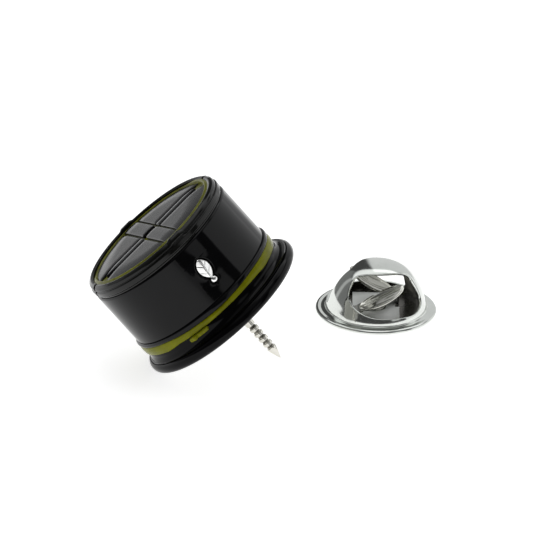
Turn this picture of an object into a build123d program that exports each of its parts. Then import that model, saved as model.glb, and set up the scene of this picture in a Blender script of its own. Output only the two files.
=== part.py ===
from build123d import *
import math
import os

# A lapel pin in the shape of a small round hat. It lies on its brim and on the tip of its post,
# and its spring clutch stands beside it on its flange.
# Millimetres, +Z up, Z = 0 is the table.
# The hat is drawn in its own frame: crown towards +Z, front towards -Y, underside on Z = 0.
# The clutch is drawn in its own frame: flange on Z = 0, dome towards +Z, on the Z axis.

# ---- hat: heights above its underside ----
brim_thickness = 1.2
brim_core_top = 0.75         # top of the metal disc inside the brim
step_top = 2.15              # dark step between the brim and the band
band_top = 3.05
welt_top = 3.5
wall_top = 9.5               # top of the side wall, under the crown rim
rim_line = 10.34             # groove round the outside of the crown rim
floor_bottom = 10.1
floor_top = 10.45            # coloured crown floor
pad_top = 10.7
rim_top = 10.9

# ---- hat: radii and widths ----
body_radius = 7.95
enamel_thickness = 0.45      # black fill on the side wall
core_radius = body_radius - enamel_thickness
band_radius = 8.15
band_bevel = (0.08, 0.25)    # rounding of the band's edges: inwards, and along its height
welt_bevel = 0.1
wall_bevel = (0.12, 0.15)    # rounding of the wall's top edge
brim_radius = 8.9
brim_core_radius = 8.25
brim_shift = (0.22, -0.13)   # the brim stands out a little more on one side
brim_fall = 0.05             # the brim's top dips towards the wall
brim_tuck = 0.6
rim_outer_radius = 7.8
rim_inner_radius = 7.2
rim_band_swell = 0.1         # the rim bulges under its groove
rim_bevel = 0.12
rim_line_depth = 0.04
rim_fall = (0.06, 0.3)       # from the crest to the inner and to the outer edge
seam_width = 0.12            # gap between the two halves of the rim
groove_width = 0.14          # coloured line between two raised crown pieces
strap_width = 1.55
ridge_width = 1.1
ridge_reach = 6.3            # the pointed ends of the side ridges stop here
ridge_point = 1.6            # length of the point
centre_gap = 0.45            # half of the gap between the two straps
pad_fall = (0.03, 0.12)      # the pads fall by this towards their outer edge
pad_round = 0.2
pad_dome = 1.2
ridge_rise = 0.05            # ridges and straps stand this much above the pads
strap_rise = 0.1
casting_wall = 1.1
back_plate_radius = 6.6
back_plate_thickness = 0.6
knot_angle = -36             # overlap of the band, in degrees from the front
knot_slope = 12
knot_size = (1.5, 0.34, 0.5)

# ---- badge ----
badge_middle = 6.63          # height of the leaf's middle
leaf_length = 2.26
leaf_width = 1.4
berry_radius = 0.34
badge_gap = 0.13             # dark line round the badge
badge_proud = 0.12
berry_overlap = 0.2          # share of its radius that the berry tucks under the leaf

# ---- post ----
post_radius = 0.5
post_place = (1.36, 1.32)    # off centre, towards the back of the hat
post_head_radius = 1.5
post_head_thickness = 0.35
taper_length = 1.6
groove_count = 5
groove_pitch = 0.66
groove_depth = 0.13
groove_half_width = 0.2
tip_flat = 0.05

# ---- clutch ----
flange_radius = 5.98
flange_edge = 0.36           # thickness of the rolled edge
flange_height = 0.55         # where the flange meets the dome
sheet = 0.28                 # thickness of the pressed shell
dome_foot_radius = 5.0
dome_top = 5.1
dome_lean = 0.15             # sideways lean of the dome where it leaves the flange
base_plate_radius = 5.4
base_plate_thickness = 0.25
eyelet_shank_radius = 0.75
eyelet_collar_radius = 1.0
eyelet_collar_thickness = 0.15
eyelet_hole_radius = 0.56
window_focus = 1.0           # the window edges point at this height on the clutch axis
window_corner = 0.2          # rounding of the corners, as a share of the distance
window_near = 0.5
window_far = 6.2
front_window_turn = 16       # degrees about the clutch axis
back_window_turn = 211
# corners as degrees round the axis and degrees above the focus
front_window = ((-25, 3), (40, 0), (56, 8), (59, 46), (0, 60.5), (-64, 50), (-60, 24), (-46, 12))
back_window = ((-70, 1), (70, 1), (70, 53), (0, 61), (-70, 53))

# ---- grip spring of the clutch ----
strip = 0.2                  # thickness of the spring strip
foot_half_length = 2.3
foot_half_width = 3.3
foot_clearance = 0.1
fold_radius = 0.4            # outside of the fold that carries a wing
wing_tilt = 28.5             # degrees
wing_length = 4.9            # along the slope
wing_width = 3.5
wing_offset = 2.1            # sideways from the clutch axis to the middle of a pad
wing_root = 2.92             # along the slope, from the fold to the middle of a pad
wing_dish = 0.25             # depth of the pressed hollow
neck_width = 1.8
neck_overlap = 0.35          # the neck runs this far under the pad's edge
wing_gap = 0.01              # between a wing's root and its fold
post_notch_radius = 0.58

# ---- how the pieces lie on the table ----
hat_tilt = 41.7              # degrees between the hat's axis and the vertical
hat_turn = 29.5              # degrees about the hat's own axis
hat_heading = 2.7            # degrees about the vertical
crown_to_clutch = (22.02, 13.0)   # from the middle of the crown to the clutch axis, along X and Y


# ---- drawing helpers ----
def revolved(*points):
    """Solid turned about Z from a closed outline of (radius, height) points."""
    return revolve(Plane.XZ * make_face(Polyline(*points, close=True)), Axis.Z)


def disc(radius, bottom, top):
    base = Cylinder(radius, top - bottom, align=(Align.CENTER, Align.CENTER, Align.MIN))
    return Pos(0, 0, bottom) * base


def tube(outer, inner, bottom, top):
    return disc(outer, bottom, top) - disc(inner, bottom, top)


def block(length, width, bottom, top, x=0.0, y=0.0):
    base = Box(length, width, top - bottom, align=(Align.CENTER, Align.CENTER, Align.MIN))
    return Pos(x, y, bottom) * base


# ---- hat body ----
def hat_casting():
    """Hollow metal hat with a thin brim disc, open underneath for the back plate."""
    wall = disc(core_radius, 0, wall_top) + disc(rim_inner_radius, wall_top, floor_bottom)
    brim_disc = Pos(*brim_shift) * disc(brim_core_radius, 0, brim_core_top)
    cavity = disc(core_radius - casting_wall, back_plate_thickness, floor_bottom - casting_wall)
    seat = disc(back_plate_radius, 0, back_plate_thickness)
    return wall + brim_disc - cavity - seat


def back_plate():
    """Disc that closes the hollow hat, with a seat for the head of the post."""
    head_seat = Pos(*post_place) * disc(post_head_radius, 0, post_head_thickness)
    return disc(back_plate_radius, 0, back_plate_thickness) - head_seat


def brim():
    """Black brim: rolled edge round the metal disc, sloping top, and the step under the band."""
    edge = brim_thickness / 2
    edge_centre = brim_radius - edge
    inside = core_radius - brim_tuck
    slope_start = (body_radius, brim_thickness - brim_fall)
    with BuildSketch(Plane.XZ) as profile:
        with BuildLine():
            Polyline((edge_centre, 0), (inside, 0), (inside, slope_start[1]), slope_start)
            Line(slope_start, (edge_centre, brim_thickness))
            ThreePointArc((edge_centre, brim_thickness), (brim_radius, edge), (edge_centre, 0))
        make_face()
    rolled = Pos(*brim_shift) * revolve(profile.sketch, Axis.Z)
    metal = Pos(*brim_shift) * disc(brim_core_radius, 0, brim_core_top)
    step = tube(body_radius, core_radius, brim_core_top, step_top)
    return rolled - metal - disc(core_radius, 0, wall_top) + step


def hat_band():
    """Coloured band with a slight belly, and the small overlap where its ends meet."""
    inwards, rise = band_bevel
    edge = band_radius - inwards
    ring = revolved(
        (core_radius, step_top), (edge, step_top), (band_radius, step_top + rise),
        (band_radius, band_top - rise), (edge, band_top), (core_radius, band_top),
    )
    knot = Pos(0, -band_radius, step_top) * Rot(0, knot_slope, 0) * Box(*knot_size)
    knot -= disc(body_radius, 0, band_top)
    return ring + Rot(0, 0, knot_angle) * knot


def band_welt():
    """Black cord-like ring above the band."""
    middle = (band_top + welt_top) / 2
    edge = band_radius - welt_bevel
    return revolved(
        (core_radius, band_top), (edge, band_top), (band_radius, middle),
        (edge, welt_top), (core_radius, welt_top),
    )


def side_wall_enamel():
    inwards, drop = wall_bevel
    wall = revolved(
        (core_radius, welt_top), (body_radius, welt_top), (body_radius, wall_top - drop),
        (body_radius - inwards, wall_top), (core_radius, wall_top),
    )
    return wall - badge_prism(badge_gap, body_radius + 1)


# ---- badge ----
def badge_prism(grow, outer_radius):
    """Pointed leaf over a round berry, pushed in from the front of the hat to the metal core."""
    half = leaf_length / 2 + grow
    side = leaf_width / 2 + grow
    leaf = make_face(Curve() + [
        ThreePointArc((0, half), (side, 0), (0, -half)),
        ThreePointArc((0, -half), (-side, 0), (0, half)),
    ])
    drop = leaf_length / 2 + berry_radius * (1 - berry_overlap)
    berry = Pos(0, -drop) * Circle(berry_radius + grow)
    prism = extrude(Plane.XZ * (leaf + berry), outer_radius + 1)
    return Pos(0, 0, badge_middle) * (prism & tube(outer_radius, core_radius, -leaf_length, leaf_length))


def badge():
    return badge_prism(0, body_radius + badge_proud)


# ---- crown ----
def crown_floor():
    return disc(rim_inner_radius, floor_bottom, floor_top)


def crown_pads():
    """Four raised quarter pads, softly domed towards their outer edge."""
    edge = rim_inner_radius - groove_width
    drop, outer_drop = pad_fall
    domed = revolved(
        (0, floor_top), (edge, floor_top), (edge, pad_top - outer_drop),
        (edge - pad_round, pad_top - drop), (edge - pad_dome, pad_top), (0, pad_top),
    )
    gap_x = strap_width / 2 + groove_width
    gap_y = ridge_width / 2 + groove_width
    pads = {}
    for side, x in (("left", -1), ("right", 1)):
        for end, y in (("front", -1), ("back", 1)):
            middle = (x * (gap_x + body_radius / 2), y * (gap_y + body_radius / 2))
            quarter = block(body_radius, body_radius, floor_top, rim_top, *middle)
            pads[f"crown_pad_{end}_{side}"] = domed & quarter
    return pads


def crown_ridges():
    """Narrow ridge from the crown centre to each side, with a pointed outer end."""
    half = ridge_width / 2
    start = strap_width / 2 + groove_width
    shoulder = ridge_reach - ridge_point
    height = pad_top + ridge_rise - floor_top
    ridges = {}
    for side, x in (("left", -1), ("right", 1)):
        outline = make_face(Polyline(
            (x * start, -half), (x * shoulder, -half), (x * ridge_reach, 0),
            (x * shoulder, half), (x * start, half), close=True,
        ))
        ridges[f"crown_ridge_{side}"] = Pos(0, 0, floor_top) * extrude(outline, height)
    return ridges


def crown_straps():
    """Strap block from the crown centre to the rim, at the front and at the back."""
    outer = rim_inner_radius - groove_width
    middle = (centre_gap + outer) / 2
    straps = {}
    for end, y in (("front", -1), ("back", 1)):
        strap = block(strap_width, outer - centre_gap, floor_top, pad_top + strap_rise, 0, y * middle)
        straps[f"crown_strap_{end}"] = strap & disc(outer, floor_top, rim_top)
    return straps


def crown_rims():
    """Rolled rim in two halves that meet in a seam at each side."""
    swollen = rim_outer_radius + rim_band_swell
    with BuildSketch(Plane.XZ) as profile:
        with BuildLine():
            inner_top = (rim_inner_radius, rim_top - rim_fall[0])
            outer_top = (rim_outer_radius, rim_top - rim_fall[1])
            crest = ((rim_inner_radius + rim_outer_radius) / 2, rim_top)
            ThreePointArc(inner_top, crest, outer_top)
            Polyline(
                outer_top, (rim_outer_radius - rim_line_depth, rim_line), (swollen, rim_line - rim_bevel),
                (swollen, wall_top + rim_bevel), (rim_outer_radius, wall_top),
                (rim_inner_radius, wall_top), inner_top,
            )
        make_face()
    ring = revolve(profile.sketch, Axis.Z)
    span = 2 * body_radius + 1
    rims = {}
    for end, y in (("front", -1), ("back", 1)):
        half = block(span, span, wall_top, rim_top, 0, y * (span + seam_width) / 2)
        rims[f"crown_rim_{end}"] = ring & half
    return rims


# ---- how the hat lies ----
def turned(x, y):
    """A point of the hat's underside, after the hat is turned about its own axis."""
    angle = math.radians(hat_turn)
    return (
        x * math.cos(angle) - y * math.sin(angle),
        x * math.sin(angle) + y * math.cos(angle),
    )


def lying_heights():
    """Height of the underside's centre above the table, and the length of post that reaches it."""
    sine = math.sin(math.radians(hat_tilt))
    cosine = math.cos(math.radians(hat_tilt))
    edge = brim_thickness / 2
    edge_centre = brim_radius - edge
    lowest = turned(*brim_shift)[0] * sine + edge * cosine - edge_centre * sine - edge
    length = -(lowest - turned(*post_place)[0] * sine) / cosine
    return -lowest, length


underside_height, post_length = lying_heights()
hat_lean = Rot(0, 0, -hat_heading) * Rot(0, -hat_tilt, 0) * Rot(0, 0, hat_turn)


def post():
    """Round post with a flat head, ring grooves and a pointed tip."""
    tip = -post_length
    last_groove = tip + taper_length + groove_depth
    points = [(0, post_head_thickness), (post_head_radius, post_head_thickness)]
    points += [(post_head_radius, 0), (post_radius, 0)]
    for index in reversed(range(groove_count)):
        middle = last_groove + index * groove_pitch
        points += [
            (post_radius, middle + groove_half_width),
            (post_radius - groove_depth, middle),
            (post_radius, middle - groove_half_width),
        ]
    points += [(tip_flat, tip + tip_flat), (0, tip)]
    return Pos(*post_place) * revolved(*points)


# ---- clutch shell ----
def dome_curve(inset):
    """Points of the dome from foot to top, moved inwards by inset."""
    foot = dome_foot_radius - inset
    points = []
    for radius, height, out, up in (
        (4.85, 1.2, 1.0, 0.1), (4.5, 2.3, 0.95, 0.3), (4.08, 3.1, 0.85, 0.5),
        (3.55, 3.85, 0.75, 0.65), (2.9, 4.45, 0.55, 0.85), (2.05, 4.85, 0.3, 0.95),
        (1.05, 5.05, 0.1, 1.0),
    ):
        points.append((radius - inset * out, height - inset * up))
    return foot, points, (0, dome_top - inset)


def clutch_shell():
    """Dome and rolled flange pressed from one sheet, with a window at the front and the back."""
    roll = flange_edge / 2
    roll_centre = flange_radius - roll
    foot, outer, outer_top = dome_curve(0)
    inner_foot, inner, inner_top = dome_curve(sheet)
    with BuildSketch(Plane.XZ) as profile:
        with BuildLine():
            Spline((foot, flange_height), *outer, outer_top, tangents=[(-dome_lean, 1), (-1, 0)])
            Line(outer_top, inner_top)
            Spline(
                inner_top, *reversed(inner), (inner_foot, base_plate_thickness),
                tangents=[(1, 0), (dome_lean, -1)],
            )
            Polyline(
                (inner_foot, base_plate_thickness), (base_plate_radius, base_plate_thickness),
                (base_plate_radius, 0), (roll_centre, 0),
            )
            ThreePointArc((roll_centre, 0), (flange_radius, roll), (roll_centre, flange_edge))
            Line((roll_centre, flange_edge), (foot, flange_height))
        make_face()
    dome = revolve(profile.sketch, Axis.Z)
    return dome - window_cut(front_window, front_window_turn) - window_cut(back_window, back_window_turn)


def window_cut(corners, turn):
    """Cutter that widens from the middle of the dome outwards, so it leaves square edges."""
    outlines = []
    for distance in (window_near, window_far):
        points = []
        for around, above in corners:
            across = math.tan(math.radians(around))
            rise = math.tan(math.radians(above)) / math.cos(math.radians(around))
            points.append((distance * across, window_focus + distance * rise))
        outline = make_face(Polyline(*points, close=True))
        outline = fillet(outline.vertices(), window_corner * distance)
        outlines.append(Plane.XZ.offset(distance) * outline)
    return Rot(0, 0, turn) * loft(outlines, ruled=True)


def clutch_base_plate():
    return tube(base_plate_radius, eyelet_shank_radius, 0, base_plate_thickness)


def clutch_eyelet():
    """Rivet that holds the spring foot on the base plate; the post goes through it."""
    shoulder = base_plate_thickness + strip
    shank = disc(eyelet_shank_radius, 0, shoulder)
    collar = disc(eyelet_collar_radius, shoulder, shoulder + eyelet_collar_thickness)
    return shank + collar - disc(eyelet_hole_radius, 0, dome_top)


# ---- grip spring ----
fold_height = base_plate_thickness + fold_radius
fold_place = foot_half_length - fold_radius


def fold():
    """Rolled end of the foot, which stops where the strip starts up the slope of the wing."""
    half = neck_width / 2
    curl = tube(fold_radius, fold_radius - strip, -half, half)
    side = 3 * fold_radius
    right_half = block(side, 2 * side, -half, half, side / 2)
    inside = right_half + Rot(0, 0, wing_tilt) * right_half
    curl = Rot(90, 0, 0) * (curl - inside)
    return Pos(-fold_place, -wing_offset, fold_height) * curl


def spring_foot():
    """Flat strip on the clutch floor, with a fold for the front wing and one for the back wing."""
    bottom = base_plate_thickness
    top = bottom + strip
    room = disc(dome_foot_radius - sheet - foot_clearance, bottom, top)
    flat = block(2 * fold_place, 2 * foot_half_width, bottom, top)
    free_end = block(2 * fold_radius, foot_half_width, bottom, top, fold_place, -foot_half_width / 2)
    foot = (flat + free_end + Rot(0, 0, 180) * free_end) & room
    foot -= disc(eyelet_shank_radius, bottom, top)
    return foot + fold() + Rot(0, 0, 180) * fold()


def finger_wing(half_turn):
    """Dished finger pad with the neck that runs down to its fold, notched for the post."""
    reach = wing_length / 2
    bowl_radius = (reach ** 2 + wing_dish ** 2) / (2 * wing_dish)
    bowl = Sphere(bowl_radius) - Sphere(bowl_radius - strip)
    pad = extrude(Ellipse(reach, wing_width / 2), wing_dish + strip, both=True)
    pad &= Pos(0, 0, bowl_radius - wing_dish - strip / 2) * bowl
    neck_end = wing_root - wing_gap
    neck_length = neck_end - reach + neck_overlap
    neck = block(neck_length, neck_width, -strip / 2, strip / 2, neck_length / 2 - neck_end)
    slope = math.radians(wing_tilt)
    fold_middle_line = fold_radius - strip / 2
    middle_x = wing_root * math.cos(slope) - fold_middle_line * math.sin(slope) - fold_place
    middle_z = wing_root * math.sin(slope) + fold_middle_line * math.cos(slope) + fold_height
    wing = Pos(middle_x, -wing_offset, middle_z) * Rot(0, -wing_tilt, 0) * (pad + neck)
    return Rot(0, 0, half_turn) * (wing - disc(post_notch_radius, 0, dome_top))


# ---- assembly ----
hat = {
    "hat_casting": hat_casting(),
    "back_plate": back_plate(),
    "brim": brim(),
    "hat_band": hat_band(),
    "band_welt": band_welt(),
    "side_wall_enamel": side_wall_enamel(),
    "badge": badge(),
    "crown_floor": crown_floor(),
    **crown_pads(),
    **crown_ridges(),
    **crown_straps(),
    **crown_rims(),
    "post": post(),
}
clutch = {
    "clutch_shell": clutch_shell(),
    "clutch_base_plate": clutch_base_plate(),
    "clutch_eyelet": clutch_eyelet(),
    "spring_foot": spring_foot(),
    "finger_wing_front": finger_wing(0),
    "finger_wing_back": finger_wing(180),
}

crown_centre = (hat_lean * Pos(0, 0, pad_top)).position
clutch_place = Pos(crown_centre.X + crown_to_clutch[0], crown_centre.Y + crown_to_clutch[1], 0)
hat_place = Pos(0, 0, underside_height) * hat_lean
placed = [hat_place * solid for solid in hat.values()]
placed += [clutch_place * solid for solid in clutch.values()]
whole = Compound(placed)
box = whole.bounding_box()
centring = Pos(-box.center().X, -box.center().Y, 0)
hat_place = centring * hat_place
clutch_place = centring * clutch_place

os.makedirs("parts", exist_ok=True)
for name, solid in hat.items():
    export_step(hat_place * solid, f"parts/{name}.step")
for name, solid in clutch.items():
    export_step(clutch_place * solid, f"parts/{name}.step")


def report(label, place):
    print(label, *(round(value, 5) for value in place.position))


hat_up = (hat_place * Pos(0, 0, 1)).position - hat_place.position
print("whole_size", *(round(value, 4) for value in box.size))
print("post_length", round(post_length, 5))
print("hat_axis", round(hat_up.X, 7), round(hat_up.Y, 7), round(hat_up.Z, 7))
report("clutch_axis", clutch_place)
report("underside_centre", hat_place)
report("crown_centre", hat_place * Pos(0, 0, pad_top))
report("back_face", hat_place * Pos(-3, -3, 0))
report("post_foot", hat_place * Pos(*post_place, 0))
report("post_tip", hat_place * Pos(*post_place, -post_length))
report("front_fold", clutch_place * Pos(-fold_place, -wing_offset, fold_height))
report("back_fold", clutch_place * Pos(fold_place, wing_offset, fold_height))
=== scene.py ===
import bpy, bmesh, math
import numpy as np
from mathutils import Matrix, Vector
from mathutils.geometry import delaunay_2d_cdt


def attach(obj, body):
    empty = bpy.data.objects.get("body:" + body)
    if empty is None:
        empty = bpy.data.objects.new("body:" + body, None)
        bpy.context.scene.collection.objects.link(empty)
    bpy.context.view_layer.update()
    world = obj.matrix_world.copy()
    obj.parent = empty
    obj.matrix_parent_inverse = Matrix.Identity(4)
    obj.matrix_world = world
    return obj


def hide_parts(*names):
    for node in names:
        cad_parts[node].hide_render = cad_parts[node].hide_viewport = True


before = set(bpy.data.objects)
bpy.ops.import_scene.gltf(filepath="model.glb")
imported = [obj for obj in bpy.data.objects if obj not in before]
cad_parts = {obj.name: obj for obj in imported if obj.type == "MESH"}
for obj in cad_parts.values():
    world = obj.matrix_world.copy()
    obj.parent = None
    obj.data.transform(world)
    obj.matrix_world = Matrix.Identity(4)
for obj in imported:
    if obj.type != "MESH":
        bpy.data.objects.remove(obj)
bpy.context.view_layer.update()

# ---- the two frames that the pieces are drawn in, in millimetres ----
MM = 0.001


def turn(degrees, axis):
    return Matrix.Rotation(math.radians(degrees), 4, axis)


HAT = Matrix.Scale(MM, 4) @ Matrix.Translation((-3.98311, -5.21219, 5.50347))
HAT = HAT @ turn(-2.7, "Z") @ turn(-41.7, "Y") @ turn(29.5, "Z")
CLUTCH = Matrix.Scale(MM, 4) @ Matrix.Translation((10.92683, 8.12311, 0))

# ---- hat sizes in millimetres, as in the CAD: radii, and heights above the underside ----
CORE, BODY, BAND = 7.5, 7.95, 8.15                      # radii of the casting, the black wall and the band
WELT_TOP, WALL_TOP = 3.5, 9.5
BRIM, BRIM_THICK, BRIM_SHIFT = 8.9, 1.2, (0.22, -0.13)  # the brim stands off centre by the shift
METAL, METAL_TOP = 8.25, 0.75                           # radius and top of the metal disc inside the brim
RIM_IN, RIM_OUT = 7.2, 7.8
FLOOR_TOP, PAD_TOP = 10.45, 10.7
BADGE_MIDDLE = 6.63


# ---- materials ----
def material(name, base, rough, metallic=0.0, ior=1.45, shine=0.5, spread=0.05, ripple=1.0,
             ripple_size=0.7, tint=0.0, spots=0.0):
    """Shader with uneven gloss, faint waves and fine specks. Sizes are in millimetres."""
    made = bpy.data.materials.new(name)
    made.use_nodes = True
    tree = made.node_tree
    shader = tree.nodes["Principled BSDF"]
    shader.inputs["Base Color"].default_value = (*base, 1)
    shader.inputs["Metallic"].default_value = metallic
    shader.inputs["IOR"].default_value = ior
    shader.inputs["Specular IOR Level"].default_value = shine
    place = tree.nodes.new("ShaderNodeTexCoord")

    def noise(size, detail):
        made_noise = tree.nodes.new("ShaderNodeTexNoise")
        made_noise.inputs["Scale"].default_value = 1.0 / (size * MM)
        made_noise.inputs["Detail"].default_value = detail
        tree.links.new(place.outputs["Object"], made_noise.inputs["Vector"])
        return made_noise.outputs["Fac"]

    def ranged(value, low, high, start=0.3, end=0.7):
        mapped = tree.nodes.new("ShaderNodeMapRange")
        mapped.inputs["From Min"].default_value = start
        mapped.inputs["From Max"].default_value = end
        mapped.inputs["To Min"].default_value = low
        mapped.inputs["To Max"].default_value = high
        tree.links.new(value, mapped.inputs["Value"])
        return mapped.outputs["Result"]

    tree.links.new(ranged(noise(0.9, 5), rough, rough + spread), shader.inputs["Roughness"])
    if tint:
        ramp = tree.nodes.new("ShaderNodeValToRGB")
        ramp.color_ramp.elements[0].position = 0.35
        ramp.color_ramp.elements[1].position = 0.65
        ramp.color_ramp.elements[0].color = (*(c * (1 - tint) for c in base), 1)
        ramp.color_ramp.elements[1].color = (*(min(1, c * (1 + tint)) for c in base), 1)
        tree.links.new(noise(1.6, 4), ramp.inputs["Fac"])
        tree.links.new(ramp.outputs["Color"], shader.inputs["Base Color"])
    wave = tree.nodes.new("ShaderNodeBump")
    wave.inputs["Strength"].default_value = 1.0
    wave.inputs["Distance"].default_value = 1.2e-6 * ripple
    tree.links.new(noise(ripple_size, 2), wave.inputs["Height"])
    speck = tree.nodes.new("ShaderNodeBump")
    speck.inputs["Strength"].default_value = 1.0
    speck.inputs["Distance"].default_value = 1.0e-6 * spots
    tree.links.new(ranged(noise(0.12, 1), 0, 1, 0.68, 0.78), speck.inputs["Height"])
    tree.links.new(wave.outputs["Normal"], speck.inputs["Normal"])
    tree.links.new(speck.outputs["Normal"], shader.inputs["Normal"])
    return made


BLACK = material("black enamel", (0.0018, 0.0018, 0.0022), 0.04, ior=1.34, shine=0.37, spread=0.03, tint=0.3,
                 ripple=9, ripple_size=2.6, spots=1.0)
RIM = material("black enamel, rim", (0.004, 0.0042, 0.0035), 0.09, ior=1.36, spread=0.06, tint=0.3, spots=0.6)
CROWN = material("moulded crown enamel", (0.008, 0.008, 0.0085), 0.17, ior=1.34, shine=0.37, spread=0.05,
                 tint=0.2, ripple=2, ripple_size=1.2, spots=0.4)
BRIM_LOOK = material("black enamel, brim", (0.0016, 0.0016, 0.002), 0.05, ior=1.34, shine=0.2, spread=0.04,
                     tint=0.3, ripple=6, ripple_size=2.6, spots=1.0)
OLIVE = material("olive enamel", (0.175, 0.182, 0.001), 0.18, ior=1.36, shine=0.2, spread=0.08, tint=0.14,
                 spots=1.0)
PIPING = material("olive piping", (0.17, 0.175, 0.012), 0.25, ior=1.36, shine=0.3, spread=0.08, tint=0.2,
                  spots=1.0)
CASTING = material("plated casting", (0.34, 0.34, 0.32), 0.2, 1.0, spread=0.08, tint=0.05, ripple=0.4,
                   spots=0.6)
BACK = material("plated back", (0.3, 0.3, 0.28), 0.28, 1.0, spread=0.12, tint=0.06, ripple_size=0.4,
                ripple=0.6, spots=1.0)
SILVER = material("badge silver", (0.93, 0.93, 0.92), 0.12, 1.0, spread=0.06, tint=0.03, spots=1.0)
POST = material("post nickel", (0.7, 0.685, 0.63), 0.14, 1.0, spread=0.08, tint=0.03, ripple_size=0.4,
                spots=1.5)
# dark nickel for the post's grooves: a painted reflection of the hat's dark underside
GROOVE_REFLECTION = material("painted dark reflection in the grooves", (0.13, 0.125, 0.11), 0.25, 1.0, spread=0.1, tint=0.1,
                  ripple_size=0.3, spots=1.5)
SHELL = material("clutch nickel", (0.66, 0.68, 0.65), 0.06, 1.0, spread=0.06, tint=0.03, ripple=1.5,
                 spots=1.0)
SPRING = material("spring nickel", (0.74, 0.74, 0.68), 0.12, 1.0, spread=0.06, tint=0.04, ripple_size=0.6,
                  spots=0.5)
# darker copy of the spring nickel: painted shade for the back wing
SHADED = material("spring nickel, shaded", (0.34, 0.34, 0.3), 0.12, 1.0, spread=0.06, tint=0.1,
                  ripple_size=0.6, spots=0.5)
STRIP_LOOK = material("spring strip nickel", (0.62, 0.63, 0.61), 0.32, 1.0, spread=0.08, tint=0.05,
                      ripple_size=0.4, spots=0.5)
# nickel darkened as painted shade, for the base plate that lies in shadow inside the dome
BASE_PLATE_SHADE = material("base plate, painted shade", (0.09, 0.085, 0.075), 0.2, 1.0, spread=0.1, tint=0.1, ripple_size=0.4,
                spots=2.0)


# ---- mesh helpers ----
def put(name, verts, faces, place, look, slot, body, *nodes, sharp=50):
    """Object from points in millimetres, smooth except at edges sharper than the angle."""
    mesh = bpy.data.meshes.new(name)
    mesh.from_pydata([place @ Vector(v) for v in verts], [], faces)
    work = bmesh.new()
    work.from_mesh(mesh)
    bmesh.ops.remove_doubles(work, verts=work.verts, dist=2e-7)
    bmesh.ops.dissolve_degenerate(work, dist=1e-8, edges=work.edges)
    bmesh.ops.recalc_face_normals(work, faces=work.faces)
    for face in work.faces:
        face.smooth = True
    for edge in work.edges:
        edge.smooth = len(edge.link_faces) == 2 and edge.calc_face_angle(0) < math.radians(sharp)
    work.to_mesh(mesh)
    work.free()
    mesh.materials.append(look)
    made = bpy.data.objects.new(name, mesh)
    bpy.context.scene.collection.objects.link(made)
    if nodes:
        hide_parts(*nodes)
    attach(made, body)
    return made


def joined(*parts):
    """One list of points and faces from several."""
    verts, faces = [], []
    for some_verts, some_faces in parts:
        start = len(verts)
        verts += list(some_verts)
        faces += [tuple(i + start for i in face) for face in some_faces]
    return verts, faces


def rounded(corners, step=0.25, arc_steps=6):
    """Closed outline from (x, y, radius) corners, with arcs at the corners."""
    count = len(corners)
    runs = []
    for i, (x, y, radius) in enumerate(corners):
        here = np.array((x, y))
        if radius <= 0:
            runs.append([here])
            continue
        back = np.array(corners[i - 1][:2]) - here
        on = np.array(corners[(i + 1) % count][:2]) - here
        back = back / np.linalg.norm(back)
        on = on / np.linalg.norm(on)
        half = math.acos(max(-1, min(1, float(back @ on)))) / 2
        middle = back + on
        centre = here + middle / np.linalg.norm(middle) * radius / math.sin(half)
        first = here + back * radius / math.tan(half) - centre
        last = here + on * radius / math.tan(half) - centre
        a0 = math.atan2(first[1], first[0])
        a1 = math.atan2(last[1], last[0])
        sweep = (a1 - a0 + math.pi) % (2 * math.pi) - math.pi
        runs.append([centre + radius * np.array((math.cos(a0 + sweep * k / arc_steps),
                                                 math.sin(a0 + sweep * k / arc_steps)))
                     for k in range(arc_steps + 1)])
    points = []
    for i, run in enumerate(runs):
        points += run
        start, end = run[-1], runs[(i + 1) % count][0]
        gap = np.linalg.norm(end - start)
        if gap > 0.12:
            inner = [0.03 / gap] + [k / math.ceil(gap / step) for k in range(1, math.ceil(gap / step))]
            inner = sorted(set(f for f in inner + [1 - 0.03 / gap] if 0.02 / gap < f < 1 - 0.02 / gap))
            points += [start + (end - start) * f for f in inner]
    return [(float(p[0]), float(p[1])) for p in points]


def azimuths(step=1.0, fine=()):
    """Degrees round the hat, 0 at the front. Stretches in fine are (start, end, step)."""
    values = set(round(-180 + k * step, 4) for k in range(int(round(360 / step))))
    for start, end, small in fine:
        values = set(v for v in values if not start <= v <= end)
        values |= set(round(start + k * small, 4) for k in range(int(round((end - start) / small)) + 1))
    return sorted(values)


def swept(profile, angles, closed=True):
    """Ring whose outline at each azimuth is profile(azimuth), as (radius, height, share of shift)."""
    verts, faces = [], []
    for angle in angles:
        a = math.radians(angle)
        for point in profile(angle):
            share = point[2] if len(point) > 2 else 0
            verts.append((point[0] * math.sin(a) + share * BRIM_SHIFT[0],
                          -point[0] * math.cos(a) + share * BRIM_SHIFT[1], point[1]))
    size = len(verts) // len(angles)
    spans = len(angles) if closed else len(angles) - 1
    for i in range(spans):
        a, b = i * size, (i + 1) % len(angles) * size
        for k in range(size):
            m = (k + 1) % size
            faces.append((a + k, b + k, b + m, a + m))
    if not closed:
        faces.append(tuple(range(size)))
        faces.append(tuple(range(len(verts) - size, len(verts)))[::-1])
    return verts, faces


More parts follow.
